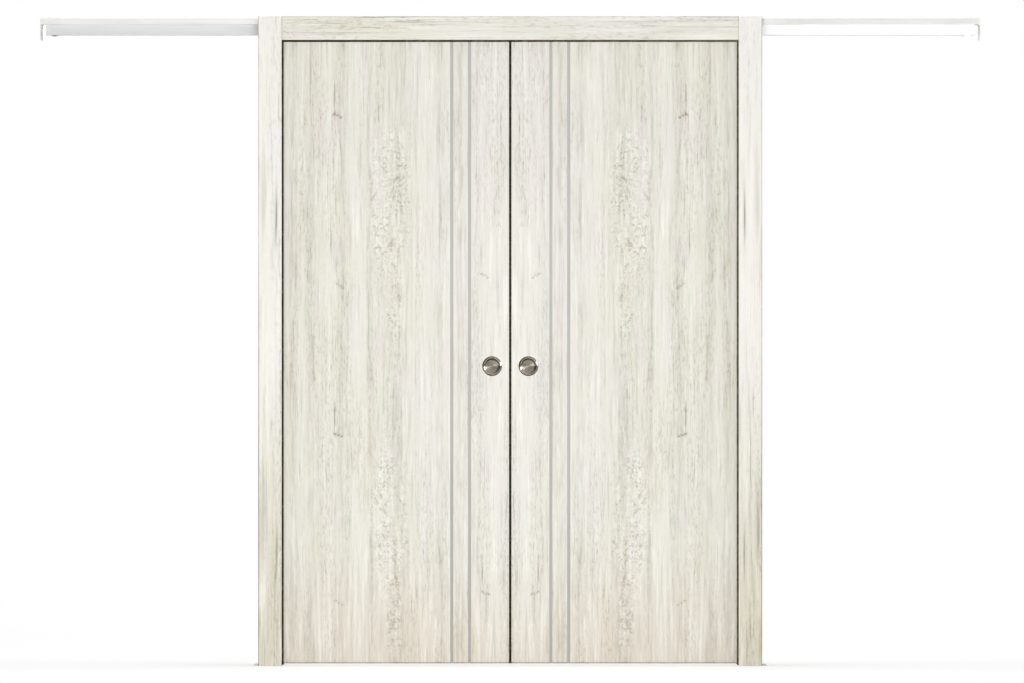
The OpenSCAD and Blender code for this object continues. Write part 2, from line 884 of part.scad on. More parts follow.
header();
track();
track_walls();
frame_fixings();
track_stops();
stop_bumpers();
end_brackets();
on_side("left") casing_leg();  // front_casing_left
casing_leg();  // front_casing_right
casing_head();  // front_casing_head
to_back() on_side("left") casing_leg();  // back_casing_left
to_back() casing_leg();  // back_casing_right
to_back() casing_head();  // back_casing_head
on_side("left") jamb_pair();  // left_jambs
jamb_pair();  // right_jambs
head_jambs();
head_cleats();
jamb_seals();
floor_brackets();
guide_fins();
for (side = sides) on_side(side) {
    core_frame();
    core_fill();
    skin();
    to_back() skin();
    edge_bands();
    strips();
    front_pull();
    to_back() front_pull();
    edge_pull();
    edge_seals();
    bottom_channel();
    hanger_plates();
    plate_screws();
    hanger_bolts();
    for (place = trolleys) {
        x = place == "lead" ? lead_hanger : rear_hanger;
        name = str(side, "_", place);
        trolley(x);
        wheel_pair(x - axle_span / 2);
        wheel_pair(x + axle_span / 2);
    }
}
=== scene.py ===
"""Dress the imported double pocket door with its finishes, and set up its light, floor and camera."""

import math

import bpy
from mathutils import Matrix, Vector


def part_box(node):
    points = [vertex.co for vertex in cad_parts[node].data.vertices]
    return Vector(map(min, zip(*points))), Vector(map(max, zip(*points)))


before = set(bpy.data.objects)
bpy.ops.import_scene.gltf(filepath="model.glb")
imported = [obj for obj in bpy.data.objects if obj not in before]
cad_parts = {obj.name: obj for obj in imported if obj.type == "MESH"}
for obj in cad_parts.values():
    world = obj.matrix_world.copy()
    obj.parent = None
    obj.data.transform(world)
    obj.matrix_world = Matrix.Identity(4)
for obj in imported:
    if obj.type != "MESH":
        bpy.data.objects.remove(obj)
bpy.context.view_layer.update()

# Lengths are in metres, but for the camera's sensor.

# The photograph's view
PHOTO_WIDTH = 1024  # pixels
SCALE = 0.003241  # metres to a pixel at the front of the casings
VIEW_DISTANCE = 20.0  # from the camera to the front of the casings
VIEW_X = 0.0058  # the camera's place across the opening
VIEW_Z = 1.052  # and its height
SENSOR = 36.0  # millimetres
CLIP_NEAR = 0.1
CLIP_FAR = 400.0

# The pattern of the doors' veneer, in metres from the meeting edges and up one repeat of the sheet.
# Bands are (middle, half width), burls are (middle, height, half width, half height) and knots are
# (middle, height, strength).
VENEER_REPEAT = 1.033
DARK_BANDS = (
    (0.162, 0.022), (0.227, 0.016), (0.363, 0.045), (0.455, 0.012), (0.545, 0.020),
    (0.648, 0.026), (0.706, 0.018),
)
PALE_BANDS = ((0.050, 0.060), (0.196, 0.011), (0.285, 0.020), (0.493, 0.028), (0.590, 0.026))
BURLS = ((0.392, 0.470, 0.088, 0.400), (0.378, 0.137, 0.036, 0.180))
KNOTS = ((0.568, 0.756, 0.9), (0.090, 0.240, 0.6), (0.565, 0.207, 0.45))
# What makes up a knot: (distance outward, height, half width, half height, share of its strength)
KNOT_SPOTS = (
    (0.0, 0.0, 0.008, 0.006, 1.0),
    (-0.020, -0.012, 0.008, 0.006, 0.9),
    (-0.010, -0.006, 0.013, 0.005, 0.7),
    (0.001, 0.062, 0.005, 0.062, 0.7),
    (-0.006, 0.0, 0.022, 0.024, 0.18),
)
FIGURE_WOBBLE = 0.03  # how far the bands' and burls' outlines stray
GRAIN_WANDER = 0.014  # how far the grain strays from straight
BAND_LIME = 0.3  # lime in a pale band
BURL_RAGGED = 0.8  # how ragged a burl's outline is
BURL_DARK = 0.75  # darkness of a burl's blotches
BURL_LIME = 0.7  # lime between them
BURL_GRAIN = 0.35  # share of the straight grain that is left in a burl
DOOR_GREENER = (0.10, 0.40)  # between these distances outward a door gets greener
DOOR_FOOT_FADE = (0.0, 0.5)  # between these heights it loses the yellow of its foot

# Dark streaks on the upright casings: (distance from the middle, height, half width, half height,
# strength)
LEG_STREAKS = (
    (0.759, 1.460, 0.005, 0.140, 0.7), (0.759, 0.365, 0.005, 0.130, 0.7),
    (0.802, 1.510, 0.014, 0.240, 0.3), (0.802, 0.470, 0.014, 0.300, 0.3),
    (0.759, 1.460, 0.012, 0.200, 0.2), (0.759, 0.365, 0.012, 0.200, 0.2),
)
CASING_GRAIN = 0.75  # how fine the casings' grain is, against the doors'
CASING_PAINTED_LIGHT_RISE = (0.05, 1.2)  # between these heights an upright casing gets lighter: painted light from above
CASING_PAINTED_LIGHT_SHARE = 0.6  # how much of the painted light it has at its head
CASING_CLEARS = (0.3, 1.6)  # between these heights its grain gets weaker
CASING_GRAIN_FOOT = 1.5  # from this strength
CASING_GRAIN_HEAD = 0.7  # to this
HEAD_CONTRAST = 1.15  # of the head casings' grain, against the plain strength

# Painted shade: darker lines along a casing's eased outer edges and ends, and along a door's lower
# edge, where shade falls
EDGE_PAINTED_SHADE_WIDTH = 0.004
EDGE_PAINTED_SHADE_UPRIGHT = 0.7
EDGE_PAINTED_SHADE_END = 0.35  # at the ends of a head casing
EDGE_PAINTED_SHADE_TOP = 0.5  # at its upper edge
FOOT_PAINTED_SHADE_HEIGHT = 0.003  # how high above the foot the painted shade is darkest
FOOT_PAINTED_SHADE_FADED = 0.006  # and where it has faded
FOOT_PAINTED_SHADE_DARK = 0.7

# The CAD keeps 0.4 mm between the two doors' seals. Each swells by this, so that they nearly meet
# and no light shows through.
SEAL_SWELL = 0.00019
SEAL_JOIN = 0.00001  # vertices that are nearer than this are one

# Seeds of the veneers. The boards of one kind are a step apart, so that no two look the same.
SEED_STEP = 7.0
LEG_SEED = 0.0
HEAD_SEED = 40.0
DOOR_SEED = 120.0

# A pull is a cup inside its mouth's radius, and a polished rim outside it.
FACE_PULL_MOUTH = 0.023
EDGE_PULL_MOUTH = 0.006
RIM_START = 1.05  # where the rim is all polished, in radii of the mouth
RIM_POLISH = 0.10  # how much less rough it is than the cup
RIM_PAINTED_SHADE_SPAN = (0.90, 0.98)  # between these shares of a pull's outer radius painted shade darkens it

LINE_SHADE = 0.72  # how dark the lines in brushed metal are, against the metal
OPENING_SIDE = 0.7  # how far from the middle the painted light differs fully from side to side


def linear(red, green, blue):
    """A colour from its 0 to 255 screen values."""

    def one(value):
        v = value / 255
        return v / 12.92 if v <= 0.04045 else ((v + 0.055) / 1.055) ** 2.4

    return (one(red), one(green), one(blue), 1.0)


def shaded(colour, share):
    """A colour with less light in it."""
    return tuple(part * share for part in colour[:3]) + (1.0,)


WHITE = (1.0, 1.0, 1.0, 1.0)
LIMED_CREAM = linear(235, 232, 226)
LIMED_GREEN = linear(233, 231, 217)
LIMED_PINK = linear(237, 229, 227)
LIME = linear(248, 246, 238)
DOOR_FOOT = linear(230, 223, 209)
# Painted light and shade of the upright casings: their colour at the foot, in shade, and at the head,
# in light
CASING_FOOT_PAINTED_SHADE = linear(222, 217, 198)
CASING_HEAD_PAINTED_LIGHT = linear(248, 246, 241)
GRAIN_GREY = linear(163, 159, 143)
GRAIN_BROWN = linear(170, 155, 136)


class Graph:
    """The nodes of a new material, or of a world, with one short call for each."""

    def __init__(self, name, owner=None):
        self.material = owner or bpy.data.materials.new(name)
        self.material.use_nodes = True
        self.tree = self.material.node_tree
        self.tree.nodes.clear()

    def node(self, kind, inputs=(), **settings):
        """A new node. Each input is a value, or another node's output to link."""
        node = self.tree.nodes.new(kind)
        for key, value in settings.items():
            setattr(node, key, value)
        for key, value in dict(inputs).items():
            if isinstance(value, bpy.types.NodeSocket):
                self.tree.links.new(value, node.inputs[key])
            else:
                node.inputs[key].default_value = value
        return node

    def math(self, operation, a, b=0.0, clamp=False):
        inputs = {0: a, 1: b}
        return self.node("ShaderNodeMath", inputs, operation=operation, use_clamp=clamp).outputs[0]

    def add(self, a, b):
        return self.math("ADD", a, b)

    def times(self, a, b):
        return self.math("MULTIPLY", a, b)

    def without(self, value):
        """What a value leaves of one."""
        return self.add(1.0, self.times(value, -1.0))

    def clamped(self, value):
        """A value kept between zero and one."""
        return self.math("MAXIMUM", value, 0.0, clamp=True)

    def total(self, values):
        result = values[0]
        for value in values[1:]:
            result = self.add(result, value)
        return result

    def length(self, a, b):
        """The length of a line that goes a across and b up."""
        return self.math("SQRT", self.add(self.times(a, a), self.times(b, b)))

    def place(self, kind="Object"):
        """The x, y and z of a texture coordinate: in metres, for the object's own."""
        point = self.node("ShaderNodeTexCoord").outputs[kind]
        return tuple(self.node("ShaderNodeSeparateXYZ", {0: point}).outputs)

    def point(self, x, y, z):
        return self.node("ShaderNodeCombineXYZ", {0: x, 1: y, 2: z}).outputs[0]

    def noise(self, point, scale=1.0, detail=2.0, roughness=0.5, distortion=0.0):
        inputs = {
            "Vector": point,
            "Scale": scale,
            "Detail": detail,
            "Roughness": roughness,
            "Distortion": distortion,
        }
        return self.node("ShaderNodeTexNoise", inputs).outputs["Fac"]

    def grain(self, place, fineness, run, seed, detail=2.0, roughness=0.5):
        """Noise drawn out along the grain: fineness and run are features to a metre.

        Place is how far across the grain, into the wood and along the grain a point is.
        """
        across, depth, along = place
        x = self.add(self.times(across, fineness), seed)
        point = self.point(x, self.times(depth, fineness), self.times(along, run))
        return self.noise(point, detail=detail, roughness=roughness)

    def rise(self, value, low, high, start=0.0, end=1.0):
        """Start below low, end above high, and a smooth change between them."""
        inputs = {"Value": value, "From Min": low, "From Max": high, "To Min": start, "To Max": end}
        node = self.node("ShaderNodeMapRange", inputs, interpolation_type="SMOOTHSTEP")
        return node.outputs["Result"]

    def hump(self, value, centre, width):
        """One at the centre, falling smoothly to zero at a width from it."""
        away = self.math("ABSOLUTE", self.add(value, -centre))
        return self.rise(away, 0.0, width, 1.0, 0.0)

    def spot(self, x, y, centre, size):
        """One at the centre of an ellipse, falling smoothly to zero at its edge."""
        dx = self.times(self.add(x, -centre[0]), 1 / size[0])
        dy = self.times(self.add(y, -centre[1]), 1 / size[1])
        return self.rise(self.length(dx, dy), 0.0, 1.0, 1.0, 0.0)

    def mix(self, factor, a, b):
        """A colour between a and b. Sockets 0, 6 and 7 are the factor and the two colours."""
        inputs = {0: factor, 6: a, 7: b}
        return self.node("ShaderNodeMix", inputs, data_type="RGBA").outputs[2]

    def bump(self, height, distance, strength):
        inputs = {"Height": height, "Distance": distance, "Strength": strength}
        return self.node("ShaderNodeBump", inputs).outputs["Normal"]

    def finish(self, **inputs):
        """Join the shader to the output. Words in an input's name are parted by underscores."""
        named = {key.replace("_", " "): value for key, value in inputs.items()}
        shader = self.node("ShaderNodeBsdfPrincipled", named)
        self.node("ShaderNodeOutputMaterial", {"Surface": shader.outputs[0]})
        return self.material


# Limed veneer


def wandering(g, place, seed):
    """A place in wood whose grain strays a little from straight."""
    across, depth, along = place
    stray = g.grain(place, fineness=7.0, run=2.0, seed=seed + 3.0)
    return g.add(across, g.times(g.add(stray, -0.5), GRAIN_WANDER)), depth, along


def wood_grain(g, place, seed):
    """Limed wood's dark and pale parts, from wide washes down to single pores, and its fibres."""
    wash = g.grain(place, fineness=24.0, run=1.8, seed=seed, detail=3.0)
    streak = g.grain(place, fineness=110.0, run=4.5, seed=seed + 11.0, detail=3.0, roughness=0.6)
    vein = g.grain(place, fineness=250.0, run=7.0, seed=seed + 23.0, detail=3.0)
    fleck = g.grain(place, fineness=190.0, run=50.0, seed=seed + 29.0, detail=3.0, roughness=0.6)
    fibre = g.grain(place, fineness=1100.0, run=16.0, seed=seed + 37.0)
    pore = g.grain(place, fineness=900.0, run=60.0, seed=seed + 51.0, detail=1.0)
    in_wash = g.rise(wash, 0.42, 0.64)
    dark = [
        g.times(in_wash, 0.07),
        g.rise(streak, 0.55, 0.68, 0.0, 0.22),
        g.times(g.rise(vein, 0.58, 0.68), g.add(g.times(in_wash, 0.26), 0.14)),
        g.times(g.rise(fleck, 0.50, 0.66), g.add(g.times(in_wash, 0.24), 0.06)),
        g.rise(fibre, 0.35, 0.70, -0.04, 0.07),
        g.times(g.rise(pore, 0.66, 0.78), 0.20),
    ]
    pale = [
        g.rise(streak, 0.46, 0.34, 0.0, 0.6),
        g.rise(vein, 0.40, 0.32, 0.0, 0.5),
        g.rise(fleck, 0.38, 0.28, 0.0, 0.4),
        g.rise(wash, 0.46, 0.30, 0.0, 0.15),
    ]
    return g.total(dark), g.total(pale), fibre


def veneer_bands(g, place, out, seed):
    """What the doors' bands darken, and what they lighten. Out is the ragged distance outward."""
    broken = g.grain(place, fineness=90.0, run=11.0, seed=seed + 5.0, detail=3.0)
    in_band = g.total([g.hump(out, centre, width) for centre, width in DARK_BANDS])
    dark = g.times(in_band, g.rise(broken, 0.36, 0.66, 0.03, 0.25))
    humps = [g.hump(out, centre, width) for centre, width in PALE_BANDS]
    pale = g.total([g.times(hump, BAND_LIME) for hump in humps])
    return dark, pale


def veneer_burls(g, place, out, up, ragged, seed):
    """How far a point is in a burl, and what the burls darken and lighten."""
    across, depth, height = place
    spots = [g.spot(out, up, shape[:2], shape[2:]) for shape in BURLS]
    burl = g.rise(g.add(g.total(spots), g.times(ragged, BURL_RAGGED)), 0.42, 0.90)
    point = g.point(g.times(across, 75.0), seed, g.times(height, 60.0))
    swirl = g.noise(point, detail=4.0, roughness=0.65, distortion=1.2)
    cluster = g.grain(place, fineness=22.0, run=9.0, seed=seed + 9.0)
    ripple = g.grain((height, depth, across), fineness=150.0, run=28.0, seed=seed + 15.0)
    crackle = g.add(g.rise(swirl, 0.50, 0.62), g.rise(ripple, 0.56, 0.72, 0.0, 0.35))
    blotches = g.times(crackle, g.rise(cluster, 0.36, 0.58, 0.18, 0.66))
    dark = g.times(g.times(blotches, burl), BURL_DARK)
    pale = g.times(g.rise(swirl, 0.47, 0.36), g.times(burl, BURL_LIME))
    return burl, dark, pale


def veneer_knots(g, across, up):
    """What the doors' knots darken."""
    spots = []
    for middle, height, strength in KNOTS:
        for dx, dz, wide, tall, share in KNOT_SPOTS:
            spot = g.spot(across, up, (middle + dx, height + dz), (wide, tall))
            spots.append(g.times(spot, strength * share))
    return g.total(spots)


def painted_shade_line(g, dark, pale, line, depth):
    """Dark and pale parts with a line of painted shade laid over them, which is darker and has no
    lime.
    """
    return g.add(dark, g.times(line, depth)), g.times(pale, g.without(line))


def limed_ground(g, place, seed, greener=None):
    """The wood's ground: cream, with greener and pinker patches.

    Greener is how much greener a point is than its patch makes it, and then the patches count half.
    """
    hue = g.rise(g.grain(place, fineness=8.0, run=2.2, seed=seed + 67.0), 0.36, 0.64)
    if greener is not None:
        hue = g.add(g.times(hue, 0.5), greener)
    blush = g.grain(place, fineness=14.0, run=3.5, seed=seed + 83.0)
    ground = g.mix(hue, LIMED_CREAM, LIMED_GREEN)
    return g.mix(g.rise(blush, 0.54, 0.68, 0.0, 0.6), ground, LIMED_PINK)


def limed_finish(g, place, seed, ground, dark, pale, fibre):
    """Limed wood of a ground, its dark and pale parts and its fibres."""
    brown = g.rise(g.grain(place, fineness=20.0, run=2.5, seed=seed + 97.0), 0.46, 0.62)
    grain = g.mix(brown, GRAIN_GREY, GRAIN_BROWN)
    relief = g.add(g.times(dark, -1.0), g.times(fibre, 0.5))
    return g.finish(
        Base_Color=g.mix(dark, g.mix(pale, ground, LIME), grain),
        Roughness=g.rise(dark, 0.0, 0.6, 0.50, 0.68),
        Specular_IOR_Level=0.35,
        Normal=g.bump(relief, distance=0.00025, strength=0.6),
    )


def door_veneer(name, seed, foot):
    """The doors' limed veneer, with its own bands, burls and knots.

    It is greener away from the meeting edges, and yellower low down. Foot is the height of its lower
    edge, along which painted shade lies as a dark line, as shade under the door.
    """
    g = Graph(name)
    x, y, z = g.place()
    side = g.math("ABSOLUTE", x)
    place = wandering(g, (side, y, z), seed)
    dark, pale, fibre = wood_grain(g, place, seed)

    figure_seed = seed + 71.0
    ragged = g.grain(place, fineness=34.0, run=15.0, seed=figure_seed, detail=3.0, roughness=0.6)
    wobble = g.times(g.add(ragged, -0.5), FIGURE_WOBBLE)
    out = g.add(place[0], wobble)
    up = g.math("FLOORED_MODULO", g.add(z, wobble), VENEER_REPEAT)
    band_dark, band_pale = veneer_bands(g, place, out, figure_seed)
    burl, burl_dark, burl_pale = veneer_burls(g, place, out, up, ragged, figure_seed)
    knots = veneer_knots(g, place[0], up)

    dark = g.times(dark, g.rise(burl, 0.0, 1.0, 1.0, BURL_GRAIN))
    dark = g.total([dark, band_dark, burl_dark, knots])
    pale = g.total([pale, band_pale, burl_pale])
    # Painted shade: a dark line along the door's lower edge, as shade under it.
    foot_painted_shade = g.rise(z, foot + FOOT_PAINTED_SHADE_HEIGHT, foot + FOOT_PAINTED_SHADE_FADED, 1.0, 0.0)
    dark, pale = painted_shade_line(g, dark, pale, foot_painted_shade, FOOT_PAINTED_SHADE_DARK)

    ground = limed_ground(g, place, seed, g.rise(side, *DOOR_GREENER, 0.0, 0.5))
    ground = g.mix(g.rise(z, *DOOR_FOOT_FADE), DOOR_FOOT, ground)
    return limed_finish(g, place, seed, ground, g.clamped(dark), g.clamped(pale), fibre)


def casing_veneer(name, lengthwise, seed, edge, top=None, contrast=1.0):
    """A casing's limed veneer, with wider grain than the doors'.

    Lengthwise is the axis that the grain runs along. Edge is how far from the middle the casing's
    outer edge or its ends are, and top is the height of a head casing's upper edge. There painted
    shade darkens the veneer, as shade on the eased edges. An upright casing has painted light from
    above: lighter at its head, and darker and yellower at its foot.
    Contrast multiplies the grain's darkness.
    """
    g = Graph(name)
    x, y, z = g.place()
    side = g.math("ABSOLUTE", x)
    upright = lengthwise == "Z"
    place = wandering(g, (side, y, z) if upright else (z, y, x), seed)
    across, depth, along = place
    wider = (g.times(across, CASING_GRAIN), depth, g.times(along, CASING_GRAIN))
    dark, pale, fibre = wood_grain(g, wider, seed)
    dark = g.times(dark, contrast)

    # Painted shade: a darker line along the casing's outer edge or ends, and along a head casing's
    # upper edge.
    turned = g.rise(side, edge - EDGE_PAINTED_SHADE_WIDTH, edge - EDGE_PAINTED_SHADE_WIDTH / 3)
    edge_shade_depth = EDGE_PAINTED_SHADE_UPRIGHT if upright else EDGE_PAINTED_SHADE_END
    dark, pale = painted_shade_line(g, dark, pale, turned, edge_shade_depth)
    if top is not None:
        turned = g.rise(z, top - EDGE_PAINTED_SHADE_WIDTH, top)
        dark, pale = painted_shade_line(g, dark, pale, turned, EDGE_PAINTED_SHADE_TOP)
    dark = g.clamped(dark)

    ground = limed_ground(g, place, seed)
    # Painted light from above: an upright casing is lighter at its head, darker and yellower at its
    # foot.
    if upright:
        painted_light_ground = g.mix(CASING_PAINTED_LIGHT_SHARE, ground, CASING_HEAD_PAINTED_LIGHT)
        ground = g.mix(g.rise(z, *CASING_PAINTED_LIGHT_RISE), CASING_FOOT_PAINTED_SHADE, painted_light_ground)
        dark = g.times(dark, g.rise(z, *CASING_CLEARS, CASING_GRAIN_FOOT, CASING_GRAIN_HEAD))
        for middle, height, half, tall, strength in LEG_STREAKS:
            streak = g.spot(across, z, (middle, height), (half, tall))
            dark = g.add(dark, g.times(streak, strength))
    return limed_finish(g, place, seed, ground, dark, g.clamped(pale), fibre)


# Other woods and boards


def painted_shade_wood(name, seed):
    """Dark brown wood with the grain just showing; its darkness is painted shade for the recess round
    the doors.
    """
    g = Graph(name)
    place = g.place()
    streak = g.grain(place, fineness=190.0, run=3.0, seed=seed, detail=3.0, roughness=0.6)
    pore = g.grain(place, fineness=800.0, run=30.0, seed=seed + 9.0)
    colour = g.mix(g.rise(streak, 0.35, 0.65), linear(58, 49, 33), linear(86, 75, 55))
    colour = g.mix(g.times(g.rise(pore, 0.60, 0.75), 0.5), colour, linear(34, 27, 17))
    return g.finish(
        Base_Color=colour,
        Roughness=g.rise(streak, 0.3, 0.7, 0.42, 0.6),
        Specular_IOR_Level=0.4,
        Normal=g.bump(g.add(streak, g.times(pore, -0.5)), distance=0.0003, strength=0.5),
    )


def softwood(name, pale, dark, seed):
    """Planed softwood with wide growth rings, and its grain upright."""
    g = Graph(name)
    x, y, z = g.place()
    wander = g.grain((x, y, z), fineness=12.0, run=1.0, seed=seed)
    ring = g.math("PINGPONG", g.times(wander, 9.0), 0.5)
    fibre = g.grain((x, y, z), fineness=700.0, run=7.0, seed=seed + 5.0)
    factor = g.add(g.rise(ring, 0.05, 0.45, 0.0, 0.75), g.rise(fibre, 0.3, 0.7, -0.1, 0.2))
    return g.finish(
        Base_Color=g.mix(g.clamped(factor), pale, dark),
        Roughness=g.rise(fibre, 0.3, 0.7, 0.55, 0.7),
        Specular_IOR_Level=0.3,
        Normal=g.bump(fibre, distance=0.0002, strength=0.5),
    )


def primed_board(name, seed):
    """White primer brushed along a board, with the grain telegraphing through."""
    g = Graph(name)
    x, y, z = g.place()
    place = (z, y, x)
    brushed = g.grain(place, fineness=420.0, run=3.0, seed=seed, detail=3.0)
    patch = g.grain(place, fineness=14.0, run=3.0, seed=seed + 7.0)
    colour = g.mix(g.rise(patch, 0.35, 0.65), linear(243, 243, 240), linear(233, 232, 227))
    colour = g.mix(g.rise(brushed, 0.55, 0.75, 0.0, 0.5), colour, linear(218, 216, 209))
    return g.finish(
        Base_Color=colour,
        Roughness=g.rise(patch, 0.3, 0.7, 0.5, 0.62),
        Specular_IOR_Level=0.4,
        Normal=g.bump(brushed, distance=0.00008, strength=0.6),
    )


def chipboard(name):
    """Pressed chips of several tones."""
    g = Graph(name)
    point = g.point(*g.place())
    chips = g.node("ShaderNodeTexVoronoi", {"Vector": point, "Scale": 160.0}).outputs["Distance"]
    tone = g.noise(point, scale=300.0)
    colour = g.mix(chips, linear(208, 180, 134), linear(160, 128, 84))
    colour = g.mix(g.rise(tone, 0.4, 0.6, 0.0, 0.5), colour, linear(222, 199, 158))
    return g.finish(
        Base_Color=colour,
        Roughness=0.8,
        Normal=g.bump(chips, distance=0.0004, strength=0.6),
    )


# Metals, rubber and nylon


def brushed_metal(name, colour, lengthwise, roughness, seed, metallic=1.0):
    """Metal with fine lines drawn along one axis. A satin anodised one is less metallic."""
    g = Graph(name)
    x, y, z = g.place()
    place = (z, y, x) if lengthwise == "X" else (x, y, z)
    lines = g.grain(place, fineness=2600.0, run=8.0, seed=seed, detail=3.0, roughness=0.6)
    cloud = g.grain(place, fineness=20.0, run=5.0, seed=seed + 4.0)
    tone = g.add(g.rise(lines, 0.3, 0.7, 0.0, 0.35), g.rise(cloud, 0.4, 0.7, 0.0, 0.15))
    return g.finish(
        Base_Color=g.mix(tone, colour, shaded(colour, LINE_SHADE)),
        Metallic=metallic,
        Roughness=g.add(g.rise(lines, 0.3, 0.7, -0.05, 0.07), roughness),
        Anisotropic=0.4,
        Normal=g.bump(lines, distance=0.00004, strength=0.35),
    )


def powder_coat(name):
    """Off-white powder coat with a fine orange peel and faint dust."""
    g = Graph(name)
    point = g.point(*g.place())
    peel = g.noise(point, scale=900.0)
    dust = g.noise(point, scale=40.0, detail=3.0, roughness=0.6)
    return g.finish(
        Base_Color=g.mix(g.rise(dust, 0.42, 0.7), linear(244, 244, 241), linear(232, 231, 226)),
        Roughness=g.rise(dust, 0.3, 0.7, 0.42, 0.56),
        Normal=g.bump(peel, distance=0.00004, strength=0.4),
    )


def zinc_plate(name):
    """Bright zinc with a faint spangle and a blue-yellow passivation cast."""
    g = Graph(name)
    point = g.point(*g.place())
    cloud = g.noise(point, scale=70.0, detail=3.0, roughness=0.55)
    fine = g.noise(point, scale=1500.0)
    cast = g.noise(point, scale=18.0, detail=1.0)
    colour = g.mix(g.rise(cast, 0.4, 0.6), linear(196, 201, 206), linear(204, 202, 190))
    colour = g.mix(g.rise(cloud, 0.45, 0.7, 0.0, 0.4), colour, linear(158, 162, 166))
    return g.finish(
        Base_Color=colour,
        Metallic=1.0,
        Roughness=g.rise(cloud, 0.3, 0.7, 0.30, 0.46),
        Normal=g.bump(fine, distance=0.00005, strength=0.3),
    )


def spun_nickel(name, axis, centre, mouth, outer):
    """Satin nickel with fine rings turned round an axis.

    It is polished outside the cup's mouth, and painted shade darkens the rim's outer edge.
    """
    g = Graph(name)
    offsets = [g.add(value, -middle) for value, middle in zip(g.place(), centre)]
    radius = g.length(*[value for value, letter in zip(offsets, "XYZ") if letter != axis])
    rings = g.noise(g.point(radius, 0.0, 0.0), scale=2600.0, detail=3.0, roughness=0.7)
    cloud = g.noise(g.point(*offsets), scale=120.0, detail=3.0, roughness=0.6)
    polish = g.rise(radius, mouth, mouth * RIM_START, 0.0, -RIM_POLISH)
    # Painted shade: the rim's outer edge is darker, standing for the dark reflection and shade round
    # it.
    rim_painted_shade = g.rise(radius, outer * RIM_PAINTED_SHADE_SPAN[0], outer * RIM_PAINTED_SHADE_SPAN[1], 0.0, 0.7)
    colour = g.mix(g.rise(rings, 0.3, 0.7, 0.0, 0.6), linear(190, 182, 168), linear(156, 147, 132))
    colour = g.mix(g.rise(cloud, 0.5, 0.75, 0.0, 0.35), colour, linear(132, 123, 108))
    return g.finish(
        Base_Color=g.mix(rim_painted_shade, colour, linear(82, 75, 60)),
        Metallic=1.0,
        Roughness=g.add(g.rise(rings, 0.3, 0.7, 0.20, 0.28), polish),
        Anisotropic=0.85,
        Anisotropic_Rotation=0.25,
        Tangent=g.node("ShaderNodeTangent", direction_type="RADIAL", axis=axis).outputs[0],
        Normal=g.bump(rings, distance=0.00004, strength=0.35),
    )


def rubber(name, pale, dark, painted_light_right=0.0):
    """Matt rubber with a fine moulded skin, from a dark tone to a paler, dusty one.

    Painted_light_right is how much paler the right side of the opening is painted, and darker the
    left, than the middle: painted light, as if lit from the left.
    """
    g = Graph(name)
    x, y, z = g.place()
    point = g.point(x, y, z)
    skin = g.noise(point, scale=1800.0, detail=3.0, roughness=0.6)
    dust = g.noise(point, scale=60.0, detail=3.0, roughness=0.6)
    # Painted light: the right side of the opening is paler, the left darker, as if lit from the left.
    painted_light_by_side = g.rise(x, -OPENING_SIDE, OPENING_SIDE, -painted_light_right, painted_light_right)
    dust_and_painted_light = g.add(g.rise(dust, 0.42, 0.7), painted_light_by_side)
    return g.finish(
        Base_Color=g.mix(g.clamped(dust_and_painted_light), dark, pale),
        Roughness=g.rise(dust, 0.3, 0.7, 0.62, 0.8),
        Specular_IOR_Level=0.08,
        Normal=g.bump(skin, distance=0.0001, strength=0.4),
    )


def moulded_nylon(name):
    """Off-white nylon, slightly glossy and translucent, with faint flow marks."""
    g = Graph(name)
    point = g.point(*g.place())
    flow = g.noise(point, scale=90.0, distortion=1.5)
    skin = g.noise(point, scale=2200.0)
    return g.finish(
        Base_Color=g.mix(g.rise(flow, 0.4, 0.65), linear(240, 238, 231), linear(226, 222, 210)),
        Roughness=g.rise(flow, 0.3, 0.7, 0.34, 0.46),
        Subsurface_Weight=0.08,
        Subsurface_Scale=0.004,
        Normal=g.bump(skin, distance=0.00005, strength=0.3),
    )


# Dressing


def give(material, *names):
    """Make a material the only one on each CAD node."""
    for name in names:
        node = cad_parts[name]
        node.data.materials.clear()
        node.data.materials.append(material)


def both(piece):
    """The names of the left door's and the right door's node for a piece."""
    return [f"{side}_{piece}" for side in ("left", "right")]


def dress_casings():
    legs = ("front_casing_left", "front_casing_right", "back_casing_left", "back_casing_right")
    for number, name in enumerate(legs):
        seed = LEG_SEED + SEED_STEP * number
        edge = max(abs(corner.x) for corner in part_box(name))
        give(casing_veneer(f"casing_upright_{number + 1}", "Z", seed, edge), name)
    for number, name in enumerate(("front_casing_head", "back_casing_head")):
        seed = HEAD_SEED + SEED_STEP * number
        end, _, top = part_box(name)[1]
        give(casing_veneer(f"casing_head_{number + 1}", "X", seed, end, top, HEAD_CONTRAST), name)


def dress_frame():
    # Painted shade: the jambs are dark, standing for the recess round the doors in shade.
    give(painted_shade_wood("jamb_painted_shade", seed=2.0), "left_jambs", "right_jambs", "head_jambs")
    give(primed_board("primed_header", seed=1.0), "header", "head_cleats")
    pale = linear(238, 239, 240)
    track = brushed_metal("track_aluminium", pale, "X", roughness=0.45, seed=3.0, metallic=0.4)
    give(track, "track", "track_walls")
    give(zinc_plate("zinc_frame"), "frame_fixings", "track_stops")
    give(powder_coat("bracket_coat"), "end_brackets", "floor_brackets")
    # Painted shade and light: the jamb seals' dark rubber stands for the shade in the gap round the
    # doors, and their right side is painted paler.
    jamb_seals = rubber("jamb_seal_painted_shade", linear(118, 110, 90), linear(46, 40, 25), painted_light_right=0.5)
    give(jamb_seals, "jamb_seals")
    give(rubber("bumper_rubber", linear(58, 58, 58), linear(30, 30, 30)), "stop_bumpers")
    give(moulded_nylon("nylon_guides"), "guide_fins")


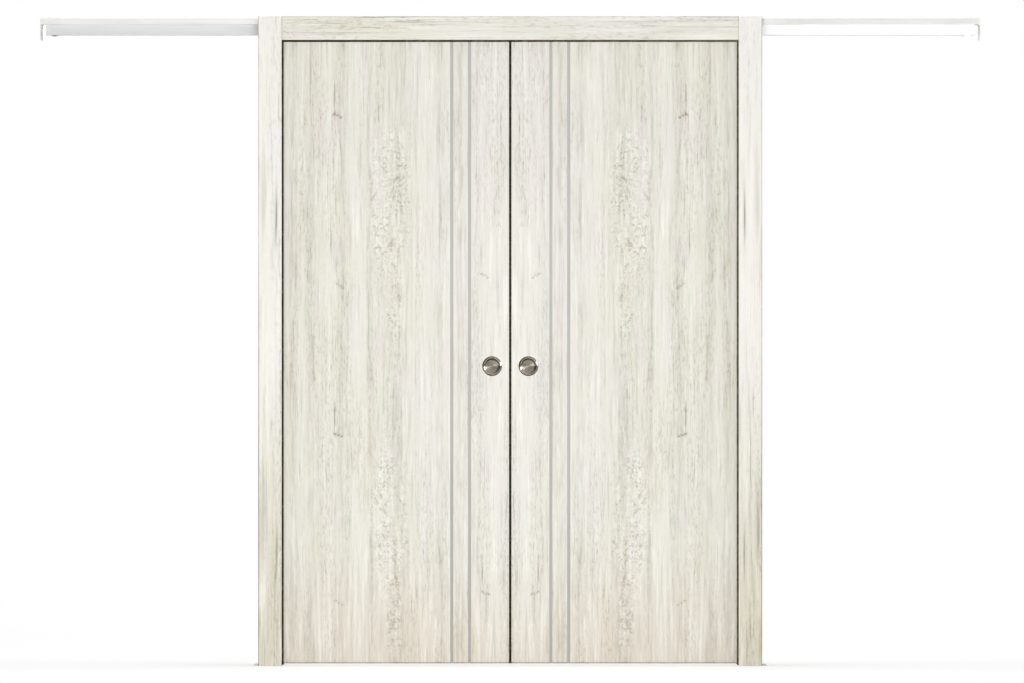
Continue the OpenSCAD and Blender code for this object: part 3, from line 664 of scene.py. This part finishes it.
def dress_doors():
    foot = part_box("left_front_skin")[0].z
    veneer = door_veneer("door_veneer", DOOR_SEED, foot)
    give(veneer, *both("front_skin"), *both("back_skin"), *both("edge_bands"))
    core = softwood("core_softwood", linear(224, 200, 156), linear(186, 150, 100), seed=5.0)
    give(core, *both("core_frame"))
    give(chipboard("core_chipboard"), *both("core_fill"))
    grey = linear(197, 195, 190)
    strips = brushed_metal("strip_aluminium", grey, "Z", roughness=0.52, seed=9.0, metallic=0.35)
    give(strips, *both("strips"))
    silver = linear(206, 208, 210)
    channel = brushed_metal("channel_aluminium", silver, "X", roughness=0.4, seed=6.0)
    give(channel, *both("bottom_channel"))
    # Painted shade: the edge seals' dark rubber stands for the shade in the gap between the doors.
    give(rubber("edge_seal_painted_shade", linear(72, 67, 50), linear(44, 39, 26)), *both("edge_seals"))


def swell_edge_seals():
    """Narrow the gap between the two doors' seals. A box's corner moves along its diagonal."""
    for name in both("edge_seals"):
        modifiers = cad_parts[name].modifiers
        modifiers.new("joined", "WELD").merge_threshold = SEAL_JOIN
        swell = modifiers.new("swell", "DISPLACE")
        swell.strength = SEAL_SWELL * math.sqrt(3)
        swell.mid_level = 0.0


def dress_pulls():
    for pull, axis, mouth in (
        ("front_pull", "Y", FACE_PULL_MOUTH),
        ("back_pull", "Y", FACE_PULL_MOUTH),
        ("edge_pull", "X", EDGE_PULL_MOUTH),
    ):
        for name in both(pull):
            low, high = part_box(name)
            outer = (high.z - low.z) / 2
            give(spun_nickel(f"nickel_{name}", axis, (low + high) / 2, mouth, outer), name)


def dress_hangers():
    zinc = zinc_plate("zinc_hangers")
    nylon = moulded_nylon("nylon_wheels")
    give(zinc, *both("hanger_plates"), *both("plate_screws"), *both("hanger_bolts"))
    for place in ("lead", "rear"):
        give(zinc, *both(f"{place}_trolley"))
        for number in (1, 2):
            give(nylon, *both(f"{place}_wheels_{number}"))


# Studio

FLOOR_REACH = 120.0  # from the middle to the floor's edges
FLOOR_CLEAR = 0.0005  # how far it lies below the casings' feet
FLOOR_PAINT = 0.93
FLOOR_SEEN = 1.2  # so that the camera sees the floor white where nothing shades it
FLOOR_MIRRORED = 0.10  # the paint that shiny surfaces see near the doors' plane
MIRRORED_NEAR = 2.0  # from this distance to the next it rises to the floor's own
MIRRORED_FAR = 4.0
FLOOR_GLOW = 0.62  # share of plain white that the camera sees near the object
FADE_NEAR = 1.6  # from this distance to the next the share rises to all
FADE_FAR = 5.0

SKY_DARK = 0.06
SKY_BRIGHT = 0.9
SKY_ON_MATT = 0.30  # share of the sky that lights matt surfaces
SKY_ACROSS = -1.6  # how strongly its brightness follows one side, and the height
SKY_UPWARD = 0.5
SKY_SPREAD = 0.8  # it is brightest where the two come to this, and darkest where to minus this

# The soft lights, as (place, size, watts). All but the top one have a twin on the opposite side.
LIGHT_AIM = (0.0, 0.0, 1.0)
KEY = ((-1.2, -7.0, 1.6), 2.4, 196.0)
FILL = ((1.2, -7.0, 0.9), 2.4, 95.0)
GLINT = ((2.4, -5.5, 1.65), 0.9, 90.0)  # for shiny surfaces only
SIDE = ((-7.0, 0.0, 1.6), 2.4, 130.0)
TOP = ((0.0, 0.0, 6.0), 1.2, 110.0)


def make_floor():
    """A pale floor that, to the camera, fades to the background's white away from the object.

    It shows a little of its own shading near the object, and shiny surfaces mirror it darker there.
    """
    corners = [
        (x * FLOOR_REACH, y * FLOOR_REACH, -FLOOR_CLEAR)
        for x, y in ((-1, -1), (1, -1), (1, 1), (-1, 1))
    ]
    mesh = bpy.data.meshes.new("studio_floor")
    mesh.from_pydata(corners, [], [(0, 1, 2, 3)])
    floor = bpy.data.objects.new("studio_floor", mesh)
    bpy.context.scene.collection.objects.link(floor)
    g = Graph("studio_floor")
    x, y, _ = g.place()
    rays = g.node("ShaderNodeLightPath").outputs
    near_doors = g.rise(g.math("ABSOLUTE", y), MIRRORED_NEAR, MIRRORED_FAR, 1.0, 0.0)
    mirrored = g.times(rays["Is Glossy Ray"], near_doors)
    paint = g.rise(mirrored, 0.0, 1.0, FLOOR_PAINT, FLOOR_MIRRORED)
    paint = g.add(paint, g.times(rays["Is Camera Ray"], FLOOR_SEEN - FLOOR_PAINT))
    diffuse = g.node("ShaderNodeBsdfDiffuse", {"Color": paint}).outputs[0]
    glow = g.node("ShaderNodeEmission", {"Color": WHITE, "Strength": 1.0}).outputs[0]
    fade = g.rise(g.length(x, y), FADE_NEAR, FADE_FAR, FLOOR_GLOW, 1.0)
    fade = g.times(rays["Is Camera Ray"], fade)
    surface = g.node("ShaderNodeMixShader", {0: fade, 1: diffuse, 2: glow}).outputs[0]
    g.node("ShaderNodeOutputMaterial", {"Surface": surface})
    mesh.materials.append(g.material)


def make_world():
    """White where the camera looks past the object, and else a sky that is brighter on one side.

    That side is the upper right for a person who faces the doors, from the front and from behind.
    """
    world = bpy.data.worlds.new("studio")
    bpy.context.scene.world = world
    g = Graph("studio", world)
    x, y, z = g.place("Generated")
    side = g.add(g.times(g.times(x, y), SKY_ACROSS), g.times(z, SKY_UPWARD))
    rays = g.node("ShaderNodeLightPath").outputs
    sky = g.rise(side, -SKY_SPREAD, SKY_SPREAD, SKY_DARK, SKY_BRIGHT)
    sky = g.times(sky, g.add(1.0, g.times(rays["Is Diffuse Ray"], SKY_ON_MATT - 1.0)))
    strength = g.add(sky, g.times(rays["Is Camera Ray"], g.without(sky)))
    glow = g.node("ShaderNodeBackground", {"Color": WHITE, "Strength": strength}).outputs[0]
    g.node("ShaderNodeOutputWorld", {"Surface": glow})


def make_light(name, light, opposite=False, gloss=False):
    """A square softbox that the camera doesn't see, for matt surfaces or else for shiny ones."""
    place, size, power = light
    if opposite:
        place = (-place[0], -place[1], place[2])
    data = bpy.data.lights.new(name, "AREA")
    data.shape = "SQUARE"
    data.size = size
    data.energy = power
    lamp = bpy.data.objects.new(name, data)
    bpy.context.scene.collection.objects.link(lamp)
    lamp.location = place
    lamp.rotation_euler = (Vector(LIGHT_AIM) - Vector(place)).to_track_quat("-Z", "Y").to_euler()
    lamp.visible_camera = False
    lamp.visible_diffuse = not gloss
    lamp.visible_glossy = gloss


def make_lights():
    """The same soft lights in front and behind, one at each side, and one from above."""
    for end, opposite in (("front", False), ("back", True)):
        make_light(f"key_{end}", KEY, opposite)
        make_light(f"fill_{end}", FILL, opposite)
        make_light(f"glint_{end}", GLINT, opposite, gloss=True)
        make_light(f"side_{end}", SIDE, opposite)
    make_light("top", TOP)


def make_camera():
    data = bpy.data.cameras.new("photo_view")
    data.sensor_width = SENSOR
    data.lens = SENSOR * VIEW_DISTANCE / (PHOTO_WIDTH * SCALE)
    data.clip_start = CLIP_NEAR
    data.clip_end = CLIP_FAR
    camera = bpy.data.objects.new("photo_view", data)
    bpy.context.scene.collection.objects.link(camera)
    casing_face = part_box("front_casing_head")[0].y
    camera.location = (VIEW_X, casing_face - VIEW_DISTANCE, VIEW_Z)
    camera.rotation_euler = (math.radians(90), 0.0, 0.0)
    bpy.context.scene.camera = camera


def set_colour():
    view = bpy.context.scene.view_settings
    view.view_transform = "Standard"
    view.look = "None"
    view.exposure = 0.0


make_camera()
dress_casings()
dress_frame()
dress_doors()
swell_edge_seals()
dress_pulls()
dress_hangers()
make_floor()
make_world()
make_lights()
set_colour()
